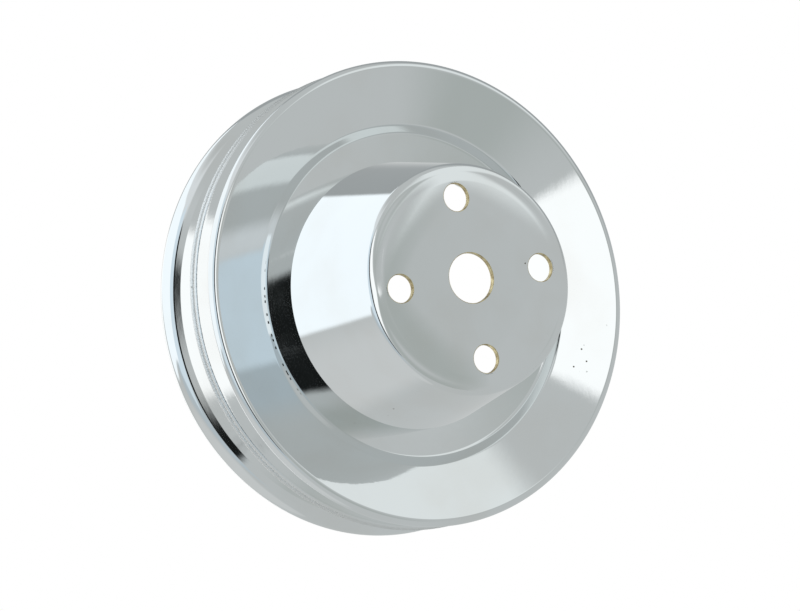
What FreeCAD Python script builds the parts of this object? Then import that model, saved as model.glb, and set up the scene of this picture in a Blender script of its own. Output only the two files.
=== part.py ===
"""Two-groove V-belt pulley for an engine's water pump, pressed from sheet steel.

The pulley turns about the Y axis. Its hub plate faces -Y, away from the engine, and its open
back faces +Y. The origin is the centre of the pilot bore on the rear face of the hub plate,
which is the face that seats on the pump's hub. +Z runs through one of the four bolt holes.

Every stamping is one sheet, described by half of its cross-section: a row of corners, each with
the bend radius of the sheet there. A corner is (radius from the axis, depth behind the front of
the hub plate). All sizes are in millimetres.
"""
import FreeCAD, Part
import math
import os

# Sheet and hub
SHEET = 1.9
PILOT_RADIUS = 8.33
BOLT_CIRCLE_DIAMETER = 53.975
BOLT_HOLE_RADIUS = 4.65
BOLT_COUNT = 4

# Hub cup: a plate, a rounded shoulder and a cone that runs back to the web
SHOULDER_OUTER_RADIUS = 7.2
CUP_FOOT = (45.5, 41.0)
CUP_TAPER = 8.8
CUP_FOOT_FILLET = 1.0

# Web and the joggle that lifts the front flange off it
WEB_RIM = (55.2, 40.15)
JOGGLE_TOP_RADIUS = 57.9
JOGGLE_FOOT_FILLET = 2.6
JOGGLE_TOP_FILLET = 4.0

# Rim: both grooves have walls leaning by this angle, and every crest reaches one radius
GROOVE_WALL_ANGLE = 17.0
RIM_RADIUS = 79.03

# Front flange, hemmed over at its edge
FRONT_CREST_ROUND = 2.15
FRONT_CREST_DEPTH = 34.65
HEM_LENGTH = 7.0

# Divider between the grooves: two sheet edges side by side
FRONT_DIVIDER_EDGE = (77.7, 46.0)
REAR_DIVIDER_EDGE = (78.08, 48.2)
GROOVE_BOTTOM_FILLET = 1.0

# Rear groove and rear flange, with a curled edge
REAR_FLOOR_RADIUS = 65.0
REAR_WALL_FOOT_DEPTH = 62.4
REAR_FLOOR_FILLET = 2.4
FLARE_ANGLE = 20.0
FLARE_FILLET = 3.0
CURL_ROUND = 4.2
CURL_DEPTH = 69.9
CURL_END_ANGLE = 60.0
CURL_LIP = 0.4

# Drum that carries the rear groove on the web
FOOT_INNER_RADIUS = 48.6
DRUM_BEND = 4.5
DRUM_END_DEPTH = 60.6

# Spot welds, each with a shallow dent where the electrode pressed
WELD_RADIUS = 2.8
WELD_DENT = 0.3
WEB_WELD_RING_RADIUS = 51.6
WEB_WELD_COUNT = 10
RIM_WELD_COUNT = 12
RIM_WELD_DEPTH = 56.6


# ---------------------------------------------------------------- plane geometry

def heading(angle):
    """Unit vector in the half section, turned from outward towards backward."""
    turn = math.radians(angle)
    return (math.cos(turn), math.sin(turn))


def along(point, direction, distance):
    """The point that lies a distance from another along a direction."""
    return (point[0] + distance * direction[0], point[1] + distance * direction[1])


def crossing(point_a, direction_a, point_b, direction_b):
    """Where two lines of the half section cross."""
    determinant = direction_a[0] * direction_b[1] - direction_a[1] * direction_b[0]
    gap = (point_b[0] - point_a[0], point_b[1] - point_a[1])
    reach = (gap[0] * direction_b[1] - gap[1] * direction_b[0]) / determinant
    return along(point_a, direction_a, reach)


def unit(start, end):
    """Unit vector from one point to another."""
    length = math.dist(start, end)
    return ((end[0] - start[0]) / length, (end[1] - start[1]) / length)


def shifted(corners, distance):
    """The same row of corners, moved sideways to the left of its direction of travel."""
    sides = [unit(a, b) for a, b in zip(corners, corners[1:])]
    moved = [along(corners[i], (-side[1], side[0]), distance) for i, side in enumerate(sides)]
    result = [moved[0]]
    for i in range(1, len(sides)):
        result.append(crossing(moved[i - 1], sides[i - 1], moved[i], sides[i]))
    last = sides[-1]
    result.append(along(corners[-1], (-last[1], last[0]), distance))
    return result


def vector(point):
    """Place a point of the half section in the pulley's frame."""
    return FreeCAD.Vector(point[0], point[1] - SHEET, 0)


def turns_left(before, corner, after):
    """True where a row of corners bends to the left of its direction of travel."""
    ahead = unit(before, corner)
    then = unit(corner, after)
    return ahead[0] * then[1] - ahead[1] * then[0] > 0


def rounded_edges(corners, bends):
    """Lines through the corners, with an arc of the given radius at each inner corner."""
    edges = []
    start = corners[0]
    for before, corner, after, bend in zip(corners, corners[1:], corners[2:], bends):
        back = unit(corner, before)
        ahead = unit(corner, after)
        half_turn = (math.pi - math.acos(back[0] * ahead[0] + back[1] * ahead[1])) / 2
        reach = bend * math.tan(half_turn)
        arc_start = along(corner, back, reach)
        arc_end = along(corner, ahead, reach)
        bisector = unit((0, 0), (back[0] + ahead[0], back[1] + ahead[1]))
        middle = along(corner, bisector, bend / math.cos(half_turn) - bend)
        if math.dist(start, arc_start) > 1e-4:
            edges.append(Part.LineSegment(vector(start), vector(arc_start)).toShape())
        edges.append(Part.Arc(vector(arc_start), vector(middle), vector(arc_end)).toShape())
        start = arc_end
    edges.append(Part.LineSegment(vector(start), vector(corners[-1])).toShape())
    return edges


def sheet_side(corners, bends, offset):
    """One face of a sheet, offset from its middle line, as corners and their bend radii."""
    side_bends = []
    for before, corner, after, bend in zip(corners, corners[1:], corners[2:], bends):
        inside = 1 if turns_left(before, corner, after) else -1
        side_bends.append(bend - inside * offset)
    return shifted(corners, offset), side_bends


def end_round(side_a, middle, outward, side_b):
    """Half round that closes the edge of a sheet."""
    crown = along(middle, outward, SHEET / 2)
    return Part.Arc(vector(side_a), vector(crown), vector(side_b)).toShape()


def revolved_sheet(corners, bends):
    """Sheet ring with rounded edges, from the middle line of its cross-section."""
    left, left_bends = sheet_side(corners, bends, SHEET / 2)
    right, right_bends = sheet_side(corners, bends, -SHEET / 2)
    edges = rounded_edges(left, left_bends) + rounded_edges(right, right_bends)
    edges.append(end_round(left[0], corners[0], unit(corners[1], corners[0]), right[0]))
    edges.append(end_round(left[-1], corners[-1], unit(corners[-2], corners[-1]), right[-1]))
    section = Part.Face(Part.Wire(Part.sortEdges(edges)[0]))
    return section.revolve(FreeCAD.Vector(0, 0, 0), FreeCAD.Vector(0, 1, 0), 360)


# ---------------------------------------------------------------- shared outlines

def hub_front_corners():
    """Front surface of the hub stamping from the plate to the edge of the front flange."""
    cup_side = heading(90 - CUP_TAPER)
    plate_edge = crossing((0, 0), (1, 0), CUP_FOOT, cup_side)
    outward = heading(-GROOVE_WALL_ANGLE)
    forward = heading(-GROOVE_WALL_ANGLE - 90)
    crest_centre = (RIM_RADIUS - FRONT_CREST_ROUND, FRONT_CREST_DEPTH)
    face_end = along(along(crest_centre, outward, FRONT_CREST_ROUND), forward, FRONT_CREST_ROUND)
    joggle_top = crossing(face_end, outward, (JOGGLE_TOP_RADIUS, 0), (0, 1))
    hem_turn = along(face_end, forward, -2 * FRONT_CREST_ROUND)
    hem_end = along(hem_turn, outward, -FRONT_CREST_ROUND - HEM_LENGTH)
    return [(0, 0), plate_edge, CUP_FOOT, WEB_RIM, joggle_top, face_end, hem_turn, hem_end]


def web_line(depth_behind_front):
    """A point on the web and its direction, at a depth behind the web's front surface."""
    points = shifted([CUP_FOOT, WEB_RIM], depth_behind_front)
    return points[0], unit(points[0], points[1])


# ---------------------------------------------------------------- stampings

def hub_stamping():
    """Hub plate, cup, web and hemmed front flange, all one sheet."""
    half = SHEET / 2
    corners = shifted(hub_front_corners(), half)
    crest = FRONT_CREST_ROUND - half
    bends = [SHOULDER_OUTER_RADIUS - half, CUP_FOOT_FILLET + half, JOGGLE_FOOT_FILLET + half,
             JOGGLE_TOP_FILLET - half, crest, crest]
    corners[0] = (0.5 * PILOT_RADIUS, half)
    sheet = revolved_sheet(corners, bends)
    plate_holes = [hole(0, 0, PILOT_RADIUS)]
    for i in range(BOLT_COUNT):
        angle = 2 * math.pi * i / BOLT_COUNT
        reach = BOLT_CIRCLE_DIAMETER / 2
        plate_holes.append(hole(reach * math.cos(angle), reach * math.sin(angle), BOLT_HOLE_RADIUS))
    return sheet.cut(plate_holes).cut(web_weld_pockets())


def hole(x, z, radius):
    """Cutter for a round hole through the hub plate."""
    start = FreeCAD.Vector(x, -2 * SHEET, z)
    return Part.makeCylinder(radius, 3 * SHEET, start, FreeCAD.Vector(0, 1, 0))


def front_groove_ring():
    """Dished ring behind the hub stamping: rear wall of the front groove."""
    half = SHEET / 2
    rear_of_hub = shifted(hub_front_corners(), SHEET)
    web_edge, joggle_top, flange_edge = rear_of_hub[3:6]
    wall = heading(GROOVE_WALL_ANGLE)
    wall_edge = along(FRONT_DIVIDER_EDGE, heading(GROOVE_WALL_ANGLE - 90), half)
    groove_bottom = crossing(joggle_top, unit(joggle_top, flange_edge), wall_edge, wall)
    web_point, web_direction = web_line(SHEET)
    inner_edge = crossing(web_point, web_direction, (FOOT_INNER_RADIUS, 0), (0, 1))
    corners = shifted([inner_edge, web_edge, joggle_top, groove_bottom, wall_edge], half)
    bends = [JOGGLE_FOOT_FILLET + 1.5 * SHEET, JOGGLE_TOP_FILLET - 1.5 * SHEET,
             GROOVE_BOTTOM_FILLET + half]
    return revolved_sheet(corners, bends).cut(web_weld_pockets())


def rim_drum():
    """Angle ring: a foot on the web and a drum under the rear groove."""
    half = SHEET / 2
    drum_radius = REAR_FLOOR_RADIUS - SHEET
    web_point, web_direction = web_line(2 * SHEET)
    inner_edge = crossing(web_point, web_direction, (FOOT_INNER_RADIUS, 0), (0, 1))
    bend = crossing(web_point, web_direction, (drum_radius, 0), (0, 1))
    corners = shifted([inner_edge, bend, (drum_radius, DRUM_END_DEPTH)], half)
    ring = revolved_sheet(corners, [DRUM_BEND - half])
    return ring.cut(web_weld_pockets()).cut(rim_weld_pockets())


def rear_groove_ring():
    """Channel ring: rear half of the divider, rear groove and curled rear flange."""
    half = SHEET / 2
    wall_edge = along(REAR_DIVIDER_EDGE, heading(90 - GROOVE_WALL_ANGLE), half)
    floor_front = crossing(wall_edge, heading(-GROOVE_WALL_ANGLE), (REAR_FLOOR_RADIUS, 0), (0, 1))
    floor_rear = (REAR_FLOOR_RADIUS, REAR_WALL_FOOT_DEPTH)
    curl_centre = (RIM_RADIUS - CURL_ROUND, CURL_DEPTH)
    curl_start = along(curl_centre, heading(FLARE_ANGLE - 90), CURL_ROUND)
    curl_end = along(curl_centre, heading(CURL_END_ANGLE), CURL_ROUND)
    curl_way = heading(CURL_END_ANGLE + 90)
    curl_corner = crossing(curl_start, heading(FLARE_ANGLE), curl_end, curl_way)
    flare = crossing(curl_start, heading(FLARE_ANGLE), floor_rear, heading(GROOVE_WALL_ANGLE))
    lip_end = along(curl_end, curl_way, CURL_LIP)
    outline = [wall_edge, floor_front, floor_rear, flare, curl_corner, lip_end]
    corners = shifted(outline, half)
    bends = [REAR_FLOOR_FILLET + half, REAR_FLOOR_FILLET + half, FLARE_FILLET - half,
             CURL_ROUND - half]
    return revolved_sheet(corners, bends).cut(rim_weld_pockets())


# ---------------------------------------------------------------- spot welds

def web_weld_discs(end_depth):
    """Discs through hub web, groove ring and drum foot, ending at a depth."""
    web_point, web_direction = web_line(0)
    web_front = crossing(web_point, web_direction, (WEB_WELD_RING_RADIUS, 0), (0, 1))[1]
    start_depth = web_front + SHEET / 2
    discs = []
    for i in range(WEB_WELD_COUNT):
        angle = 2 * math.pi * (i + 0.5) / WEB_WELD_COUNT
        centre = FreeCAD.Vector(WEB_WELD_RING_RADIUS * math.cos(angle), start_depth - SHEET,
                                WEB_WELD_RING_RADIUS * math.sin(angle))
        length = end_depth - start_depth
        discs.append(Part.makeCylinder(WELD_RADIUS, length, centre, FreeCAD.Vector(0, 1, 0)))
    return discs


def web_stack_depth():
    """Depth of the rear face of the three sheets at the ring of web welds."""
    web_point, web_direction = web_line(3 * SHEET)
    return crossing(web_point, web_direction, (WEB_WELD_RING_RADIUS, 0), (0, 1))[1]


def web_weld_pockets():
    """Room for the web welds, open at the back where the electrode pressed."""
    return web_weld_discs(web_stack_depth() + SHEET)


def web_spot_welds():
    """Weld metal that joins the hub stamping, the front groove ring and the drum."""
    return Part.makeCompound(web_weld_discs(web_stack_depth() - WELD_DENT))


def rim_weld_discs(inner_radius):
    """Radial discs through the rear groove floor and the drum, ending at an inner radius."""
    outer_radius = REAR_FLOOR_RADIUS - SHEET / 2
    discs = []
    for i in range(RIM_WELD_COUNT):
        angle = 2 * math.pi * (i + 0.5) / RIM_WELD_COUNT
        way = FreeCAD.Vector(math.cos(angle), 0, math.sin(angle))
        start = way * inner_radius + FreeCAD.Vector(0, RIM_WELD_DEPTH - SHEET, 0)
        discs.append(Part.makeCylinder(WELD_RADIUS, outer_radius - inner_radius, start, way))
    return discs


def rim_weld_pockets():
    """Room for the rim welds, open inside the drum where the electrode pressed."""
    return rim_weld_discs(REAR_FLOOR_RADIUS - 3 * SHEET)


def rim_spot_welds():
    """Weld metal that joins the rear groove ring to the drum."""
    return Part.makeCompound(rim_weld_discs(REAR_FLOOR_RADIUS - 2 * SHEET + WELD_DENT))


def main():
    """Write one STEP file for each piece of the pulley."""
    os.makedirs("parts", exist_ok=True)
    pieces = {
        "hub_stamping": hub_stamping(),
        "front_groove_ring": front_groove_ring(),
        "rim_drum": rim_drum(),
        "rear_groove_ring": rear_groove_ring(),
        "web_spot_welds": web_spot_welds(),
        "rim_spot_welds": rim_spot_welds(),
    }
    for name, shape in pieces.items():
        box = shape.BoundBox
        print(name, shape.isValid(), len(shape.Solids), round(shape.Volume), [
            round(value, 2) for value in (box.XMin, box.YMin, box.ZMin, box.XMax, box.YMax, box.ZMax)])
        shape.exportStep("parts/" + name + ".step")


main()
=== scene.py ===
"""Looks of the chrome V-belt pulley: smooth sheet-metal meshes, chrome plating, studio, camera.

The pulley turns about the Y axis and its front faces -Y, as in the frame. Every stamping is one
sheet, described by half of its cross-section: a row of corners, each with the bend radius of the
sheet there. A corner is (radius from the axis, depth behind the front of the hub plate). Sizes
of the pulley are in millimetres, and the meshes are made in metres.
"""

import math

import bpy
import numpy as np
from mathutils import Matrix, Vector
from mathutils.geometry import delaunay_2d_cdt


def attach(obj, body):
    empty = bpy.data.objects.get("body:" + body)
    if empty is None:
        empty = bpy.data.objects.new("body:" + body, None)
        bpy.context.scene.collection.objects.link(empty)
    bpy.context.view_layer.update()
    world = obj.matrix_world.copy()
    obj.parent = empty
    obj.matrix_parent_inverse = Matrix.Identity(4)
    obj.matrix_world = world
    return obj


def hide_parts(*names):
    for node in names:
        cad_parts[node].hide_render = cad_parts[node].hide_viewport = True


MM = 0.001

# ---------------------------------------------------------------- the pulley's sizes

# Sheet and hub
SHEET = 1.9
PILOT_RADIUS = 8.33
BOLT_CIRCLE_DIAMETER = 53.975
BOLT_HOLE_RADIUS = 4.65
BOLT_COUNT = 4
CROWN_START = (33.6, 0.0)
CROWN_SLOPES = (12.0, 27.5)
CROWN_WIDTH = 2.9
SHOULDER_RADII = (14.0, 6.5, 2.8)
CUP_FOOT = (45.5, 41.0)
CUP_TAPER = 10.2

# Web, joggle and front flange
WEB_RIM = (55.2, 40.15)
JOGGLE_TOP_RADIUS = 57.9
JOGGLE_FOOT_FILLET = 2.6
JOGGLE_TOP_FILLET = 4.0
GROOVE_WALL_ANGLE = 17.0
RIM_RADIUS = 79.03
FRONT_CREST_ROUND = 2.15
FRONT_CREST_DEPTH = 34.65
HEM_LENGTH = 7.0

# Grooves and rear flange
FRONT_DIVIDER_EDGE = (77.7, 46.0)
REAR_DIVIDER_EDGE = (78.08, 48.2)
GROOVE_BOTTOM_FILLET = 1.0
REAR_FLOOR_RADIUS = 65.0
REAR_WALL_FOOT_DEPTH = 62.4
REAR_FLOOR_FILLET = 2.4
FLARE_ANGLE = 20.0
FLARE_FILLET = 3.0
CURL_ROUND = 4.2
CURL_DEPTH = 69.9
CURL_END_ANGLE = 60.0
CURL_LIP = 0.4

# Drum and spot welds; a dent's wall starts inside the weld's edge and ends outside it
FOOT_INNER_RADIUS = 48.6
DRUM_BEND = 4.5
DRUM_END_DEPTH = 60.6
FOOT_FLAT_RADIUS = 57.0
WELD_RADIUS = 2.8
WELD_DENT = 0.32
DENT_WALL_INSIDE = 0.3
DENT_WALL_OUTSIDE = 0.9
WEB_WELD_RING_RADIUS = 51.6
WEB_WELD_COUNT = 10
RIM_WELD_COUNT = 12
RIM_WELD_DEPTH = 56.6

# Flat part of the hub plate, whose edge the rest of the hub is turned from
PLATE_EDGE_RADIUS = 32.0

# The pressed hub plate isn't quite flat: it falls away outside a lobed area around the bolts
DISH_LOBE_POWER = 1.35
DISH_START = 25.0
DISH_DEPTH = 0.0045
DISH_FADE_START = 33.0
DISH_FADE_END = 38.5

# Holes: rounding of their edges, and how far the plate's net of points keeps from them
HOLE_EDGE_ROUND = 0.25
HOLE_EDGE_TILTS = (90, 60, 30, 0)
HOLE_STEP = 0.45
HOLE_MARGIN = 1.4
PILOT_MARGIN = 1.7
PLATE_EDGE_MARGIN = 0.5

# How fine the meshes are, in steps to a turn, degrees and millimetres
STEPS_AROUND = 360
ARC_STEP = 6.0
LINE_STEP = 2.0
PLATE_STEP = 1.2
SLOPE_STEP = 0.05
SAME_PLACE = 0.001
NET_TOLERANCE = 1e-6


# ---------------------------------------------------------------- plane geometry

def heading(angle):
    """Unit vector in the half section, turned from outward towards backward."""
    turn = math.radians(angle)
    return (math.cos(turn), math.sin(turn))


def along(point, direction, distance):
    """The point that lies a distance from another along a direction."""
    return (point[0] + distance * direction[0], point[1] + distance * direction[1])


def crossing(point_a, direction_a, point_b, direction_b):
    """Where two lines of the half section cross."""
    determinant = direction_a[0] * direction_b[1] - direction_a[1] * direction_b[0]
    gap = (point_b[0] - point_a[0], point_b[1] - point_a[1])
    reach = (gap[0] * direction_b[1] - gap[1] * direction_b[0]) / determinant
    return along(point_a, direction_a, reach)


def unit(start, end):
    """Unit vector from one point to another."""
    length = math.dist(start, end)
    return ((end[0] - start[0]) / length, (end[1] - start[1]) / length)


def left_of(direction):
    """The direction a quarter turn to the left."""
    return (-direction[1], direction[0])


def shifted(corners, distance):
    """The same row of corners, moved sideways to the left of its direction of travel."""
    sides = [unit(a, b) for a, b in zip(corners, corners[1:])]
    moved = [along(corners[i], left_of(side), distance) for i, side in enumerate(sides)]
    result = [moved[0]]
    for i in range(1, len(sides)):
        result.append(crossing(moved[i - 1], sides[i - 1], moved[i], sides[i]))
    result.append(along(corners[-1], left_of(sides[-1]), distance))
    return result


def turns_left(before, corner, after):
    """True where a row of corners bends to the left of its direction of travel."""
    ahead = unit(before, corner)
    then = unit(corner, after)
    return ahead[0] * then[1] - ahead[1] * then[0] > 0


# ---------------------------------------------------------------- sheet outlines
# An outline is a list of (radius, depth, outward normal) along the surface of a sheet.

def arc_points(centre, radius, start, turn, outward):
    """Points along an arc; outward is 1 where the surface faces away from the centre."""
    count = max(2, math.ceil(abs(turn) / math.radians(ARC_STEP)))
    points = []
    for i in range(count + 1):
        angle = start + turn * i / count
        ray = (math.cos(angle), math.sin(angle))
        points.append((along(centre, ray, radius), (outward * ray[0], outward * ray[1])))
    return points


def line_points(start, end, normal):
    """Points along a straight stretch, without its two ends."""
    count = math.ceil(math.dist(start, end) / LINE_STEP)
    way = (end[0] - start[0], end[1] - start[1])
    return [(along(start, way, i / count), normal) for i in range(1, count)]


def sheet_side(corners, bends, offset, span=slice(None)):
    """One face of a sheet, offset from its middle line, as a list of points and normals."""
    face = shifted(corners, offset)[span]
    facing = 1 if offset > 0 else -1
    points = []
    start = face[0]
    for before, corner, after, bend in zip(face, face[1:], face[2:], bends):
        left = 1 if turns_left(before, corner, after) else -1
        radius = bend - left * offset
        ahead = unit(before, corner)
        then = unit(corner, after)
        turn = math.asin(max(-1, min(1, ahead[0] * then[1] - ahead[1] * then[0])))
        if ahead[0] * then[0] + ahead[1] * then[1] < 0:
            turn = left * math.pi - turn
        reach = radius * math.tan(abs(turn) / 2)
        arc_start = along(corner, ahead, -reach)
        inward = left_of(ahead) if left > 0 else left_of((-ahead[0], -ahead[1]))
        centre = along(arc_start, inward, radius)
        normal = left_of(ahead)
        normal = (facing * normal[0], facing * normal[1])
        if math.dist(start, arc_start) > SAME_PLACE:
            if not points:
                points.append((start, normal))
            points += line_points(start, arc_start, normal)
        first = math.atan2(arc_start[1] - centre[1], arc_start[0] - centre[0])
        points += arc_points(centre, radius, first, turn, -left * facing)
        start = along(corner, then, reach)
    normal = left_of(unit(face[-2], face[-1]))
    normal = (facing * normal[0], facing * normal[1])
    points += line_points(start, face[-1], normal)
    points.append((face[-1], normal))
    return points


def end_round(middle, from_side, turn):
    """Half round that closes the edge of a sheet, without the two points it shares."""
    first = math.atan2(from_side[1] - middle[1], from_side[0] - middle[0])
    return arc_points(middle, SHEET / 2, first, turn, 1)[1:-1]


def sheet_outline(corners, bends):
    """Both faces and the rounded edges of a sheet."""
    half = SHEET / 2
    left = sheet_side(corners, bends, half)
    right = sheet_side(corners, bends, -half)
    outline = left + end_round(corners[-1], left[-1][0], -math.pi) + right[::-1]
    return outline + end_round(corners[0], right[0][0], -math.pi)


def hub_front_corners():
    """Front surface of the hub stamping from the plate to the edge of the front flange."""
    cup_side = heading(90 - CUP_TAPER)
    crown_edge = along(CROWN_START, heading(CROWN_SLOPES[0]), CROWN_WIDTH)
    shoulder_edge = crossing(CUP_FOOT, cup_side, crown_edge, heading(CROWN_SLOPES[1]))
    outward = heading(-GROOVE_WALL_ANGLE)
    forward = heading(-GROOVE_WALL_ANGLE - 90)
    crest_centre = (RIM_RADIUS - FRONT_CREST_ROUND, FRONT_CREST_DEPTH)
    face_end = along(along(crest_centre, outward, FRONT_CREST_ROUND), forward, FRONT_CREST_ROUND)
    joggle_top = crossing(face_end, outward, (JOGGLE_TOP_RADIUS, 0), (0, 1))
    hem_turn = along(face_end, forward, -2 * FRONT_CREST_ROUND)
    hem_end = along(hem_turn, outward, -FRONT_CREST_ROUND - HEM_LENGTH)
    shoulder = [CROWN_START, crown_edge, shoulder_edge]
    return [(0, 0), *shoulder, CUP_FOOT, WEB_RIM, joggle_top, face_end, hem_turn, hem_end]


def web_line(depth_behind_front):
    """A point on the web and its direction, at a depth behind the web's front surface."""
    points = shifted([CUP_FOOT, WEB_RIM], depth_behind_front)
    return points[0], unit(points[0], points[1])


def hub_middle():
    """Middle line of the hub stamping from the flat of the plate, and its bend radii."""
    half = SHEET / 2
    corners = shifted(hub_front_corners(), half)
    corners[0] = (PLATE_EDGE_RADIUS, half)
    crest = FRONT_CREST_ROUND - half
    bends = [*(radius - half for radius in SHOULDER_RADII), None, JOGGLE_FOOT_FILLET + half,
             JOGGLE_TOP_FILLET - half, crest, crest]
    return corners, bends


def cup_outline():
    """Rear and then front face of the hub cup, from the plate to the crease at its foot."""
    corners, bends = hub_middle()
    rear = sheet_side(corners, bends, SHEET / 2, slice(0, 5))
    front = sheet_side(corners, bends, -SHEET / 2, slice(0, 5))
    return rear + front[::-1]


def flange_outline():
    """Web, joggle, front flange and hem, from the crease at the foot of the cup and back."""
    corners, bends = hub_middle()
    rear = sheet_side(corners, bends[4:], SHEET / 2, slice(4, None))
    front = sheet_side(corners, bends[4:], -SHEET / 2, slice(4, None))
    return rear + end_round(corners[-1], rear[-1][0], -math.pi) + front[::-1]


def front_groove_outline():
    """Ring behind the hub stamping, with the rear wall of the front groove."""
    half = SHEET / 2
    web_edge, joggle_top, flange_edge = shifted(hub_front_corners(), SHEET)[5:8]
    wall = heading(GROOVE_WALL_ANGLE)
    wall_edge = along(FRONT_DIVIDER_EDGE, heading(GROOVE_WALL_ANGLE - 90), half)
    groove_bottom = crossing(joggle_top, unit(joggle_top, flange_edge), wall_edge, wall)
    web_point, web_direction = web_line(SHEET)
    inner_edge = crossing(web_point, web_direction, (FOOT_INNER_RADIUS, 0), (0, 1))
    corners = shifted([inner_edge, web_edge, joggle_top, groove_bottom, wall_edge], half)
    bends = [JOGGLE_FOOT_FILLET + 1.5 * SHEET, JOGGLE_TOP_FILLET - 1.5 * SHEET,
             GROOVE_BOTTOM_FILLET + half]
    return sheet_outline(corners, bends)


def drum_outline():
    """Foot on the web and drum under the rear groove."""
    half = SHEET / 2
    drum_radius = REAR_FLOOR_RADIUS - SHEET
    web_point, web_direction = web_line(2 * SHEET)
    inner_edge = crossing(web_point, web_direction, (FOOT_INNER_RADIUS, 0), (0, 1))
    bend = crossing(web_point, web_direction, (drum_radius, 0), (0, 1))
    corners = shifted([inner_edge, bend, (drum_radius, DRUM_END_DEPTH)], half)
    return sheet_outline(corners, [DRUM_BEND - half])


def rear_groove_outline():
    """Rear half of the divider, rear groove and curled rear flange."""
    half = SHEET / 2
    wall_edge = along(REAR_DIVIDER_EDGE, heading(90 - GROOVE_WALL_ANGLE), half)
    floor_front = crossing(wall_edge, heading(-GROOVE_WALL_ANGLE), (REAR_FLOOR_RADIUS, 0), (0, 1))
    floor_rear = (REAR_FLOOR_RADIUS, REAR_WALL_FOOT_DEPTH)
    curl_centre = (RIM_RADIUS - CURL_ROUND, CURL_DEPTH)
    curl_start = along(curl_centre, heading(FLARE_ANGLE - 90), CURL_ROUND)
    curl_end = along(curl_centre, heading(CURL_END_ANGLE), CURL_ROUND)
    curl_way = heading(CURL_END_ANGLE + 90)
    curl_corner = crossing(curl_start, heading(FLARE_ANGLE), curl_end, curl_way)
    flare = crossing(curl_start, heading(FLARE_ANGLE), floor_rear, heading(GROOVE_WALL_ANGLE))
    lip_end = along(curl_end, curl_way, CURL_LIP)
    outline = [wall_edge, floor_front, floor_rear, flare, curl_corner, lip_end]
    bends = [REAR_FLOOR_FILLET + half, REAR_FLOOR_FILLET + half, FLARE_FILLET - half,
             CURL_ROUND - half]
    return sheet_outline(shifted(outline, half), bends)


# ---------------------------------------------------------------- small departures from round

def smooth_step(value, start, end):
    """0 before start, 1 after end, and a smooth rise between."""
    share = min(1, max(0, (value - start) / (end - start)))
    return share * share * (3 - 2 * share)


def dish(x, z):
    """How far the hub plate falls back at a place, in mm."""
    lobed = (abs(x) ** DISH_LOBE_POWER + abs(z) ** DISH_LOBE_POWER) ** (1 / DISH_LOBE_POWER)
    fall = DISH_DEPTH * max(0, lobed - DISH_START) ** 2
    return fall * (1 - smooth_step(math.hypot(x, z), DISH_FADE_START, DISH_FADE_END))


def dished(place, normal):
    """A point of the hub, moved back with the dish, and its turned normal."""
    x, y, z = place
    if math.hypot(x, z) > DISH_FADE_END:
        return place, normal
    slope_x = (dish(x + SLOPE_STEP, z) - dish(x - SLOPE_STEP, z)) / (2 * SLOPE_STEP)
    slope_z = (dish(x, z + SLOPE_STEP) - dish(x, z - SLOPE_STEP)) / (2 * SLOPE_STEP)
    turned = Vector((normal[0] - slope_x * normal[1], normal[1], normal[2] - slope_z * normal[1]))
    return (x, y + dish(x, z), z), tuple(turned.normalized())


def dent(distance):
    """Depth and slope of a spot weld's dent, at a distance from its centre, in mm."""
    inner = WELD_RADIUS - DENT_WALL_INSIDE
    outer = WELD_RADIUS + DENT_WALL_OUTSIDE
    if distance >= outer:
        return 0, 0
    if distance <= inner:
        return WELD_DENT, 0
    share = (distance - inner) / (outer - inner)
    depth = WELD_DENT * (1 - smooth_step(distance, inner, outer))
    slope = -WELD_DENT * 6 * share * (1 - share) / (outer - inner)
    return depth, slope


def dented(place, normal):
    """A point of the drum, pushed in where a spot weld's electrode pressed."""
    x, y, z = place
    radius = math.hypot(x, z)
    turn = math.atan2(z, x)
    on_foot = normal[1] > 0.9 and radius < FOOT_FLAT_RADIUS
    in_drum = radius < REAR_FLOOR_RADIUS - 1.5 * SHEET and not on_foot
    count = WEB_WELD_COUNT if on_foot else RIM_WELD_COUNT
    pitch = 2 * math.pi / count
    centre_turn = (math.floor(turn / pitch) + 0.5) * pitch
    way = Vector((math.cos(centre_turn), 0, math.sin(centre_turn)))
    if on_foot:
        centre = way * WEB_WELD_RING_RADIUS + Vector((0, y, 0))
    elif in_drum:
        centre = way * radius + Vector((0, RIM_WELD_DEPTH - SHEET, 0))
    else:
        return place, normal
    gap = Vector(place) - centre
    depth, slope = dent(gap.length)
    if depth == 0:
        return place, normal
    moved = Vector(place) - Vector(normal) * depth
    turned = Vector(normal) + gap.normalized() * slope if gap.length > 0 else Vector(normal)
    return tuple(moved), tuple(turned.normalized())


# ---------------------------------------------------------------- meshes

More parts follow.
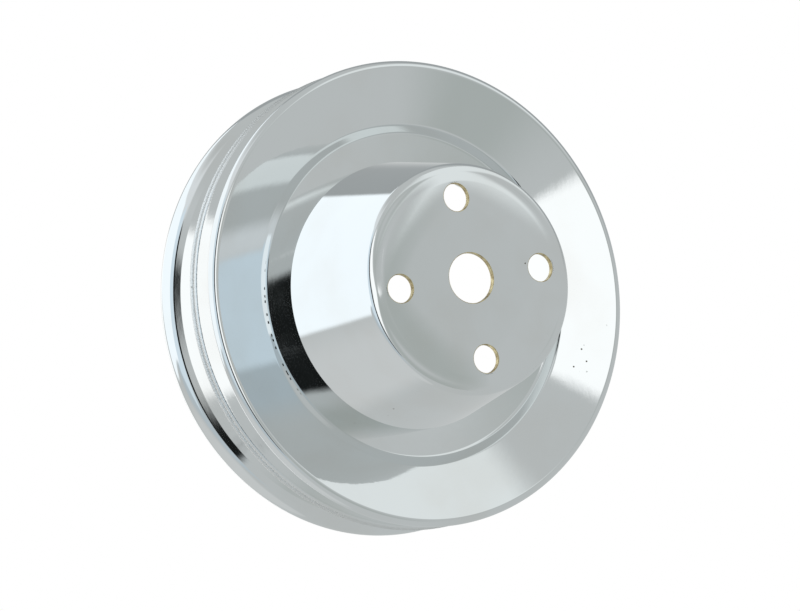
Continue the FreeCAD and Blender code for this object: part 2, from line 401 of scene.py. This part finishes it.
class Surface:
    """Vertices with normals, and faces, gathered before they become a mesh."""

    def __init__(self):
        self.places = []
        self.normals = []
        self.faces = []

    def add(self, place, normal):
        """Add a vertex and return its number."""
        self.places.append(place)
        self.normals.append(normal)
        return len(self.places) - 1

    def add_face(self, corners):
        """Add a face, wound so that it faces the way its vertices' normals point."""
        a, b, c = (Vector(self.places[i]) for i in corners[:3])
        facing = sum((Vector(self.normals[i]) for i in corners), Vector())
        if (b - a).cross(c - a).dot(facing) < 0:
            corners = corners[::-1]
        self.faces.append(corners)

    def band(self, ring_a, ring_b):
        """Faces between two closed rings with the same number of vertices."""
        count = len(ring_a)
        for i in range(count):
            j = (i + 1) % count
            self.add_face((ring_a[i], ring_a[j], ring_b[j], ring_b[i]))

    def revolve(self, outline, closed):
        """Turn an outline about the pulley's axis; returns its rings of vertices."""
        rings = []
        for (radius, depth), (normal_out, normal_back) in outline:
            ring = []
            for k in range(STEPS_AROUND):
                turn = 2 * math.pi * k / STEPS_AROUND
                c, s = math.cos(turn), math.sin(turn)
                place = (radius * c, depth - SHEET, radius * s)
                ring.append(self.add(place, (normal_out * c, normal_back, normal_out * s)))
            rings.append(ring)
        for ring_a, ring_b in zip(rings, rings[1:]):
            self.band(ring_a, ring_b)
        if closed:
            self.band(rings[-1], rings[0])
        return rings

    def object(self, name, shape=None):
        """Make the Blender object, each vertex first moved by shape if there is one."""
        if shape:
            moved = [shape(p, n) for p, n in zip(self.places, self.normals)]
            self.places = [p for p, _ in moved]
            self.normals = [n for _, n in moved]
        mesh = bpy.data.meshes.new(name)
        mesh.from_pydata([Vector(p) * MM for p in self.places], [], self.faces)
        mesh.shade_smooth()
        mesh.normals_split_custom_set_from_vertices(self.normals)
        piece = bpy.data.objects.new(name, mesh)
        bpy.context.scene.collection.objects.link(piece)
        return piece


def ring_places(centre, radius, count):
    """Places on a circle in the plate's plane, as (x, z)."""
    places = []
    for k in range(count):
        turn = 2 * math.pi * k / count
        places.append((centre[0] + radius * math.cos(turn), centre[1] + radius * math.sin(turn)))
    return places


def plate_holes():
    """Centre and radius of each hole in the hub plate."""
    holes = [((0, 0), PILOT_RADIUS)]
    for centre in ring_places((0, 0), BOLT_CIRCLE_DIAMETER / 2, BOLT_COUNT):
        holes.append((centre, BOLT_HOLE_RADIUS))
    return holes


def plate_net():
    """Flat triangles of the hub plate around its holes: places, triangles, rings of holes."""
    places = ring_places((0, 0), PLATE_EDGE_RADIUS, STEPS_AROUND)
    hole_rings = []
    for centre, radius in plate_holes():
        count = 8 * round(radius * 2 * math.pi / HOLE_STEP / 8)
        edge = radius + HOLE_EDGE_ROUND
        hole_rings.append(range(len(places), len(places) + count))
        places += ring_places(centre, edge, count)
        places += ring_places(centre, edge + HOLE_STEP, count)
    radius = PILOT_RADIUS + PILOT_MARGIN
    while radius < PLATE_EDGE_RADIUS - PLATE_EDGE_MARGIN:
        count = round(2 * math.pi * radius / PLATE_STEP)
        for place in ring_places((0, 0), radius, count):
            if all(math.dist(place, c) > r + HOLE_MARGIN for c, r in plate_holes()):
                places.append(place)
        radius += PLATE_STEP
    net = delaunay_2d_cdt([Vector(p) for p in places], [], [], 0, NET_TOLERANCE)
    triangles = []
    for face in net[2]:
        if not any(all(i in ring for i in face) for ring in hole_rings):
            triangles.append(face)
    return places, triangles, hole_rings


def make_hub_cup():
    """Hub plate with its holes, and the cup."""
    surface = Surface()
    rings = surface.revolve(cup_outline(), closed=False)
    places, triangles, hole_rings = plate_net()
    faces = []
    for depth, facing, rim in ((-SHEET, -1, rings[-1]), (0, 1, rings[0])):
        numbers = list(rim)
        for x, z in places[STEPS_AROUND:]:
            numbers.append(surface.add((x, depth, z), (0, facing, 0)))
        for triangle in triangles:
            surface.add_face(tuple(numbers[i] for i in triangle))
        faces.append(numbers)
    wall_start = len(surface.faces)
    for (centre, radius), ring in zip(plate_holes(), hole_rings):
        add_hole_wall(surface, centre, radius, [[numbers[i] for i in ring] for numbers in faces])
    wall_end = len(surface.faces)
    piece = surface.object("hub_cup_plated", dished)
    piece.data.materials.append(chrome_plate)
    piece.data.materials.append(thin_plating)
    for polygon in piece.data.polygons[wall_start:wall_end]:
        polygon.material_index = 1
    return piece


def add_hole_wall(surface, centre, radius, edges):
    """Wall of a hole between its rings on the front and rear faces, with rounded edges."""
    count = len(edges[0])
    rows = [edges[0]]
    for side, start in ((-1, -SHEET), (1, 0)):
        tilts = HOLE_EDGE_TILTS[1:] if side < 0 else HOLE_EDGE_TILTS[:0:-1]
        for tilt in tilts:
            lean = math.radians(tilt)
            reach = radius + HOLE_EDGE_ROUND * (1 - math.cos(lean))
            depth = start - side * HOLE_EDGE_ROUND * (1 - math.sin(lean))
            row = []
            for x, z in ring_places((0, 0), 1, count):
                place = (centre[0] + reach * x, depth, centre[1] + reach * z)
                normal = (-math.cos(lean) * x, side * math.sin(lean), -math.cos(lean) * z)
                row.append(surface.add(place, normal))
            rows.append(row)
    rows.append(edges[1])
    for row_a, row_b in zip(rows, rows[1:]):
        surface.band(row_a, row_b)


def make_ring(name, outline, shape=None):
    """A sheet ring turned from its outline."""
    surface = Surface()
    surface.revolve(outline, closed=True)
    piece = surface.object(name, shape)
    piece.data.materials.append(chrome_plate)
    return piece


# ---------------------------------------------------------------- materials
# Lengths in materials are in metres, and the scales of noise in waves to the metre.

# The divider's two sheared edges: the depth between them, in the frame, then the distances from
# that depth over which they fade out, and the distances from the axis over which they fade in
SHEARED_DEPTH = ((FRONT_DIVIDER_EDGE[1] + REAR_DIVIDER_EDGE[1]) / 2 - SHEET) * MM
SHEARED_FADE = (0.0012, 0.0022)
SHEARED_START = (0.0755, 0.0766)

# Heights of the relief of the surfaces
WAVE_HEIGHT = 0.00003
BUFFING_HEIGHT = 0.000004
GRIT_HEIGHT = 0.0002
PIT_DEPTH = 0.0001
TEAR_HEIGHT = 0.00008
WELD_SKIN_HEIGHT = 0.00005

# Colours, as shares of red, green and blue
CHROME_COLOUR = (0.80, 0.825, 0.83)
HAZE_COLOUR = (0.775, 0.79, 0.785)
SHEARED_COLOUR = (0.62, 0.63, 0.62)
PIT_COLOUR = (0.2, 0.17, 0.13)
YELLOWED_COLOUR = (0.72, 0.62, 0.36)
BROWNED_COLOUR = (0.42, 0.33, 0.17)
WELD_COLOUR = (0.6, 0.6, 0.58)
BURNT_COLOUR = (0.42, 0.38, 0.32)


class Nodes:
    """Short way to build a metallic material's nodes."""

    def __init__(self, name):
        self.material = bpy.data.materials.new(name)
        self.material.use_nodes = True
        self.tree = self.material.node_tree
        self.shader = self.tree.nodes["Principled BSDF"]
        self.shader.inputs["Metallic"].default_value = 1
        self.place = self.tree.nodes.new("ShaderNodeTexCoord").outputs["Object"]

    def link(self, source, target):
        """Join an output to an input, or set the input where the source is a plain value."""
        if isinstance(source, bpy.types.NodeSocket):
            self.tree.links.new(source, target)
        else:
            target.default_value = source

    def noise(self, scale, detail, stretch=(1, 1, 1)):
        """Noise over the object, stretched along its axes."""
        mapping = self.tree.nodes.new("ShaderNodeMapping")
        mapping.inputs["Scale"].default_value = stretch
        self.link(self.place, mapping.inputs["Vector"])
        node = self.tree.nodes.new("ShaderNodeTexNoise")
        node.inputs["Scale"].default_value = scale
        node.inputs["Detail"].default_value = detail
        self.link(mapping.outputs[0], node.inputs["Vector"])
        return node.outputs["Fac"]

    def cells(self, scale):
        """Distance to the nearest of scattered points."""
        node = self.tree.nodes.new("ShaderNodeTexVoronoi")
        node.inputs["Scale"].default_value = scale
        self.link(self.place, node.inputs["Vector"])
        return node.outputs["Distance"]

    def ramp(self, value, low, high, at_low=0.0, at_high=1.0):
        """Map a value from one range to another, without going beyond it."""
        node = self.tree.nodes.new("ShaderNodeMapRange")
        node.interpolation_type = "SMOOTHSTEP"
        for socket, source in zip(node.inputs, (value, low, high, at_low, at_high)):
            self.link(source, socket)
        return node.outputs[0]

    def math(self, operation, a, b=0.0):
        """One arithmetic step."""
        node = self.tree.nodes.new("ShaderNodeMath")
        node.operation = operation
        self.link(a, node.inputs[0])
        self.link(b, node.inputs[1])
        return node.outputs[0]

    def mix(self, share, colour_a, colour_b):
        """Blend of two colours."""
        node = self.tree.nodes.new("ShaderNodeMix")
        node.data_type = "RGBA"
        self.link(share, node.inputs["Factor"])
        for socket, colour in ((node.inputs[6], colour_a), (node.inputs[7], colour_b)):
            self.link((*colour, 1) if isinstance(colour, tuple) else colour, socket)
        return node.outputs[2]

    def radius_and_depth(self):
        """Distance from the pulley's axis, and depth along it."""
        parts = self.tree.nodes.new("ShaderNodeSeparateXYZ")
        self.link(self.place, parts.inputs[0])
        squares = [self.math("MULTIPLY", parts.outputs[i], parts.outputs[i]) for i in (0, 2)]
        return self.math("SQRT", self.math("ADD", *squares)), parts.outputs[1]

    def bump(self, height, distance, under=None):
        """Bump from a height, on top of another bump if one is given."""
        node = self.tree.nodes.new("ShaderNodeBump")
        node.inputs["Strength"].default_value = 1
        node.inputs["Distance"].default_value = distance
        self.link(height, node.inputs["Height"])
        if under:
            self.link(under, node.inputs["Normal"])
        return node.outputs[0]

    def finish(self, colour, roughness, normal):
        """Connect the shader."""
        self.link(colour, self.shader.inputs["Base Color"])
        self.link(roughness, self.shader.inputs["Roughness"])
        self.link(normal, self.shader.inputs["Normal"])
        return self.material


def make_chrome_plate():
    """Bright chrome over sheet steel: waves, buffing lines, haze, pits and sheared edges."""
    nodes = Nodes("chrome_plate")
    radius, depth = nodes.radius_and_depth()
    waves = nodes.noise(55, 2)
    buffing = nodes.noise(420, 3, (1, 5, 1))
    haze = nodes.ramp(nodes.noise(38, 4), 0.42, 0.72)
    away = nodes.math("ABSOLUTE", nodes.math("SUBTRACT", depth, SHEARED_DEPTH))
    sheared = nodes.ramp(away, *SHEARED_FADE, 1.0, 0.0)
    sheared = nodes.math("MULTIPLY", sheared, nodes.ramp(radius, *SHEARED_START))
    grit = nodes.noise(2600, 2)
    pit_spots = nodes.ramp(nodes.cells(260), 0.055, 0.085, 1.0, 0.0)
    pit_places = nodes.ramp(nodes.noise(70, 2), 0.66, 0.72)
    pits = nodes.math("MULTIPLY", pit_spots, pit_places)
    tone = nodes.mix(haze, CHROME_COLOUR, HAZE_COLOUR)
    tone = nodes.mix(nodes.math("MULTIPLY", sheared, grit), tone, SHEARED_COLOUR)
    tone = nodes.mix(pits, tone, PIT_COLOUR)
    roughness = nodes.ramp(haze, 0, 1, 0.035, 0.075)
    roughness = nodes.math("ADD", roughness, nodes.math("MULTIPLY", sheared, 0.2))
    roughness = nodes.math("ADD", roughness, nodes.math("MULTIPLY", pits, 0.4))
    normal = nodes.bump(waves, WAVE_HEIGHT)
    normal = nodes.bump(buffing, BUFFING_HEIGHT, normal)
    normal = nodes.bump(nodes.math("MULTIPLY", grit, sheared), GRIT_HEIGHT, normal)
    normal = nodes.bump(nodes.math("SUBTRACT", 1.0, pits), PIT_DEPTH, normal)
    return nodes.finish(tone, roughness, normal)


def make_thin_plating():
    """Wall of a punched hole: torn steel with little plating, turning yellow-brown."""
    nodes = Nodes("thin_plating")
    blotches = nodes.ramp(nodes.noise(500, 4), 0.35, 0.65)
    tears = nodes.noise(1500, 3, (1, 0.15, 1))
    tone = nodes.mix(blotches, YELLOWED_COLOUR, BROWNED_COLOUR)
    roughness = nodes.ramp(tears, 0.3, 0.7, 0.22, 0.42)
    return nodes.finish(tone, roughness, nodes.bump(tears, TEAR_HEIGHT))


def make_weld_mark():
    """Plated spot weld with burnt stains and a coarse skin."""
    nodes = Nodes("weld_mark")
    stains = nodes.ramp(nodes.noise(600, 4), 0.35, 0.7)
    skin = nodes.noise(1800, 3)
    tone = nodes.mix(stains, WELD_COLOUR, BURNT_COLOUR)
    roughness = nodes.ramp(skin, 0.3, 0.7, 0.18, 0.36)
    return nodes.finish(tone, roughness, nodes.bump(skin, WELD_SKIN_HEIGHT))


# ---------------------------------------------------------------- studio and camera

# The studio is in metres and degrees. The camera's place and angles come from the ellipses that
# the pulley's round edges make in the photograph.
CAMERA_PLACE = (-0.62072, -1.02961, -0.06612)
CAMERA_AZIMUTH = -29.9532
CAMERA_ELEVATION = -2.9309
CAMERA_ROLL = -10.4610
CAMERA_LENS = 164.94
CAMERA_REACH = 20

# A white floor that bends up into a round wall, with a roof: radius and height of its rings
FLOOR_HEIGHT = -0.45
ROOF_HEIGHT = 3.0
CENTRE_RADIUS = 0.00001
CYCLORAMA = [(CENTRE_RADIUS, FLOOR_HEIGHT), (2.0, FLOOR_HEIGHT), (2.4, FLOOR_HEIGHT + 0.08),
             (2.7, FLOOR_HEIGHT + 0.4), (2.8, FLOOR_HEIGHT + 0.9), (2.8, ROOF_HEIGHT),
             (CENTRE_RADIUS, ROOF_HEIGHT)]
CYCLORAMA_STEPS = 64
WORLD_COLOUR = (0.55, 0.56, 0.56)

# The light tent is a dome around the pulley, turned and rolled with the photograph's camera. The
# corners of its panels are directions from the pulley, chosen so that the chrome reflects
# much what it does in the photograph: an azimuth, which is 0 towards the camera and grows to the
# right, and an elevation.
# Colours run from 0 to 255, as the chrome shows them, and it gives back CHROME_SHARE of the light.
# A panel is (corners, colour, width of its soft edge), and later panels cover earlier ones.
DOME_RADIUS = 6.0
DOME_STEP = 1
CHROME_SHARE = 0.82
TENT_COLOUR = (181, 184, 184)
BACK_WALL = [(100, 15), (112, 68), (215, 68), (225, 40), (215, 15)]
BACKDROP = [(-127, 14), (-126, -14), (-150, -26), (-168, -26), (-168, -12), (-150, 8), (-140, 14)]
FLOOR_GLOW = [(-150, -90), (-150, -35), (-100, -25), (0, -40), (10, -90)]
TOP_GLOW = [(-115, 30), (-115, 58), (-60, 62), (10, 55), (15, 35)]
TOP_SHADE = [(40, 10), (38, -18), (56, -18), (57, 16), (52, 24)]
MIDDLE_PANEL = [(-45, 42), (-45, -16), (-12, -22), (-1, -10), (0, 30), (-6, 42)]
MIDDLE_FADE = [(-60, -12), (-60, -30), (0, -34), (24, -30), (24, -16), (0, -10)]
LEFT_PANEL = [(-150, 28), (-140, 16), (-124, 2), (-114, -6), (-110, -20), (-88, -22), (-60, -14),
              (-36, -10), (-30, 8), (-30, 34), (-40, 46), (-80, 50), (-146, 50)]
LOWER_RIGHT_PANEL = [(52, 22), (50, 46), (66, 54), (92, 52), (98, 34), (84, 24)]
DARK_CAMERA = [(0, 30), (4, 34), (12, 30), (15, 20), (14, 10), (14, 2), (16, -3), (21, -7),
               (29, -10), (30, -13), (24, -17), (12, -15), (2, -8), (0, 2)]
RIGHT_PANEL = [(18, 4), (18, 20), (21, 27), (32, 29), (40, 23), (41, 10), (32, -2), (22, -1)]
PANELS = [
    (BACK_WALL, (152, 156, 157), 16),
    (BACKDROP, (253, 253, 253), 3),
    (FLOOR_GLOW, (194, 196, 196), 25),
    (TOP_GLOW, (212, 215, 217), 16),
    (TOP_SHADE, (164, 169, 167), 12),
    (LOWER_RIGHT_PANEL, (218, 222, 222), 8),
    (MIDDLE_FADE, (176, 186, 192), 12),
    (MIDDLE_PANEL, (206, 219, 228), 5),
    (LEFT_PANEL, (244, 250, 254), 3),
    (DARK_CAMERA, (24, 26, 26), 3),
    (RIGHT_PANEL, (252, 253, 253), 2),
]


def light_share(level):
    """Linear light of a colour value from 0 to 255."""
    value = level / 255
    return value / 12.92 if value <= 0.04045 else ((value + 0.055) / 1.055) ** 2.4


def edge_gap(azimuth, elevation, corners):
    """Distance from directions to a panel's edge in degrees, positive inside it."""
    middle = sum(c[0] for c in corners) / len(corners)
    across = (azimuth - middle + 180) % 360 - 180 + middle
    inside = np.zeros(azimuth.shape, bool)
    nearest = np.full(azimuth.shape, np.inf)
    for (x0, y0), (x1, y1) in zip(corners, corners[1:] + corners[:1]):
        reach = (across - x0) * (x1 - x0) + (elevation - y0) * (y1 - y0)
        share = np.clip(reach / ((x1 - x0) ** 2 + (y1 - y0) ** 2), 0, 1)
        gap_x = across - x0 - share * (x1 - x0)
        gap_y = elevation - y0 - share * (y1 - y0)
        nearest = np.minimum(nearest, np.hypot(gap_x, gap_y))
        if y0 != y1:
            side = x0 + (elevation - y0) * (x1 - x0) / (y1 - y0)
            inside ^= ((y0 > elevation) != (y1 > elevation)) & (across < side)
    return np.where(inside, nearest, -nearest)


def tent_light(azimuth, elevation):
    """Linear colour of the light tent in some directions."""
    light = np.ones((*azimuth.shape, 3)) * [light_share(v) / CHROME_SHARE for v in TENT_COLOUR]
    for corners, colour, edge in PANELS:
        share = np.clip(edge_gap(azimuth, elevation, corners) / edge + 0.5, 0, 1)
        share = (share * share * (3 - 2 * share))[..., None]
        panel = np.array([light_share(v) / CHROME_SHARE for v in colour])
        light = light * (1 - share) + panel * share
    return light


def camera_turn():
    """Orientation of the camera, with which the light tent is level."""
    turn = Matrix.Rotation(math.radians(CAMERA_AZIMUTH), 4, "Z")
    tip = Matrix.Rotation(math.radians(90 - CAMERA_ELEVATION), 4, "X")
    roll = Matrix.Rotation(math.radians(CAMERA_ROLL), 4, "Z")
    return turn @ tip @ roll


def stage_object(name, mesh, material):
    """Put a mesh of the studio in the scene."""
    mesh.materials.append(material)
    thing = bpy.data.objects.new(name, mesh)
    bpy.context.scene.collection.objects.link(thing)
    return thing


def glow_material(name):
    """A material that only gives light, and its emission node."""
    material = bpy.data.materials.new(name)
    material.use_nodes = True
    nodes = material.node_tree.nodes
    nodes.remove(nodes["Principled BSDF"])
    glow = nodes.new("ShaderNodeEmission")
    glow.inputs["Strength"].default_value = 1
    material.node_tree.links.new(glow.outputs[0], nodes["Material Output"].inputs["Surface"])
    material.cycles.emission_sampling = "NONE"
    return material, glow


def make_light_tent():
    """Dome of light panels, which only the pulley's reflections show."""
    columns = 360 // DOME_STEP
    rows = 180 // DOME_STEP + 1
    grid = np.meshgrid(np.arange(columns) * DOME_STEP - 180.0, np.arange(rows) * DOME_STEP - 90.0)
    azimuth, elevation = (axis.ravel() for axis in grid)
    level = np.cos(np.radians(elevation))
    rays = np.stack([np.sin(np.radians(azimuth)) * level, np.sin(np.radians(elevation)),
                     np.cos(np.radians(azimuth)) * level], 1)
    places = DOME_RADIUS * rays @ np.array(camera_turn().to_3x3()).T
    faces = []
    for row in range(rows - 1):
        for column in range(columns):
            beside = (column + 1) % columns
            low = row * columns
            high = low + columns
            faces.append((low + column, low + beside, high + beside, high + column))
    mesh = bpy.data.meshes.new("light_tent")
    mesh.from_pydata(places.tolist(), [], faces)
    paint = mesh.color_attributes.new("tent_light", "FLOAT_COLOR", "POINT")
    colours = np.ones((len(places), 4))
    colours[:, :3] = tent_light(azimuth, elevation)
    paint.data.foreach_set("color", colours.ravel())
    material, glow = glow_material("tent_light")
    reader = material.node_tree.nodes.new("ShaderNodeAttribute")
    reader.attribute_name = "tent_light"
    material.node_tree.links.new(reader.outputs["Color"], glow.inputs["Color"])
    tent = stage_object("light_tent", mesh, material)
    tent.visible_camera = False
    tent.visible_shadow = False


def make_cyclorama():
    """White floor, round wall and roof, which the camera sees and reflections don't."""
    places = []
    faces = []
    for radius, height in CYCLORAMA:
        ring = ring_places((0, 0), radius, CYCLORAMA_STEPS)
        places += [(x, y, height) for x, y in ring]
    for row in range(len(CYCLORAMA) - 1):
        low = row * CYCLORAMA_STEPS
        high = low + CYCLORAMA_STEPS
        for k in range(CYCLORAMA_STEPS):
            beside = (k + 1) % CYCLORAMA_STEPS
            faces.append((low + k, low + beside, high + beside, high + k))
    mesh = bpy.data.meshes.new("floor_and_wall")
    mesh.from_pydata(places, [], faces)
    material, _ = glow_material("white_studio")
    stage = stage_object("floor_and_wall", mesh, material)
    stage.visible_glossy = False
    stage.visible_shadow = False


def make_camera():
    """Camera at the photograph's viewing angle."""
    data = bpy.data.cameras.new("camera")
    data.lens = CAMERA_LENS
    data.clip_end = CAMERA_REACH
    camera = bpy.data.objects.new("camera", data)
    camera.matrix_world = Matrix.Translation(CAMERA_PLACE) @ camera_turn()
    bpy.context.scene.collection.objects.link(camera)
    bpy.context.scene.camera = camera


def make_world():
    """Soft grey surroundings, with plain display colours."""
    world = bpy.data.worlds.new("studio")
    world.use_nodes = True
    world.node_tree.nodes["Background"].inputs["Color"].default_value = (*WORLD_COLOUR, 1)
    bpy.context.scene.world = world
    bpy.context.scene.view_settings.view_transform = "Standard"


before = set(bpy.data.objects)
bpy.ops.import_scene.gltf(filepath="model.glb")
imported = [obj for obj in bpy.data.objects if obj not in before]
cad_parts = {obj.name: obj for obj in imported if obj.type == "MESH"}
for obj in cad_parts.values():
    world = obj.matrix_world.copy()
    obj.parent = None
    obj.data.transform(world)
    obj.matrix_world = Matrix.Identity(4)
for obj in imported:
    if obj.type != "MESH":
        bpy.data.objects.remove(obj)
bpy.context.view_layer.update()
chrome_plate = make_chrome_plate()
thin_plating = make_thin_plating()
weld_mark = make_weld_mark()
stampings = [
    (make_hub_cup(), "hub_stamping"),
    (make_ring("front_flange_plated", flange_outline()), "hub_stamping"),
    (make_ring("front_groove_ring_plated", front_groove_outline()), "front_groove_ring"),
    (make_ring("rim_drum_plated", drum_outline(), dented), "rim_drum"),
    (make_ring("rear_groove_ring_plated", rear_groove_outline()), "rear_groove_ring"),
]
for piece, node in stampings:
    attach(piece, "root")
    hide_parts(node)
    piece.visible_glossy = piece.name == "hub_cup_plated"
for node in ("web_spot_welds", "rim_spot_welds"):
    welds = bpy.data.objects[node]
    welds.data.materials.clear()
    welds.data.materials.append(weld_mark)
    welds.visible_glossy = False
make_world()
make_light_tent()
make_cyclorama()
make_camera()
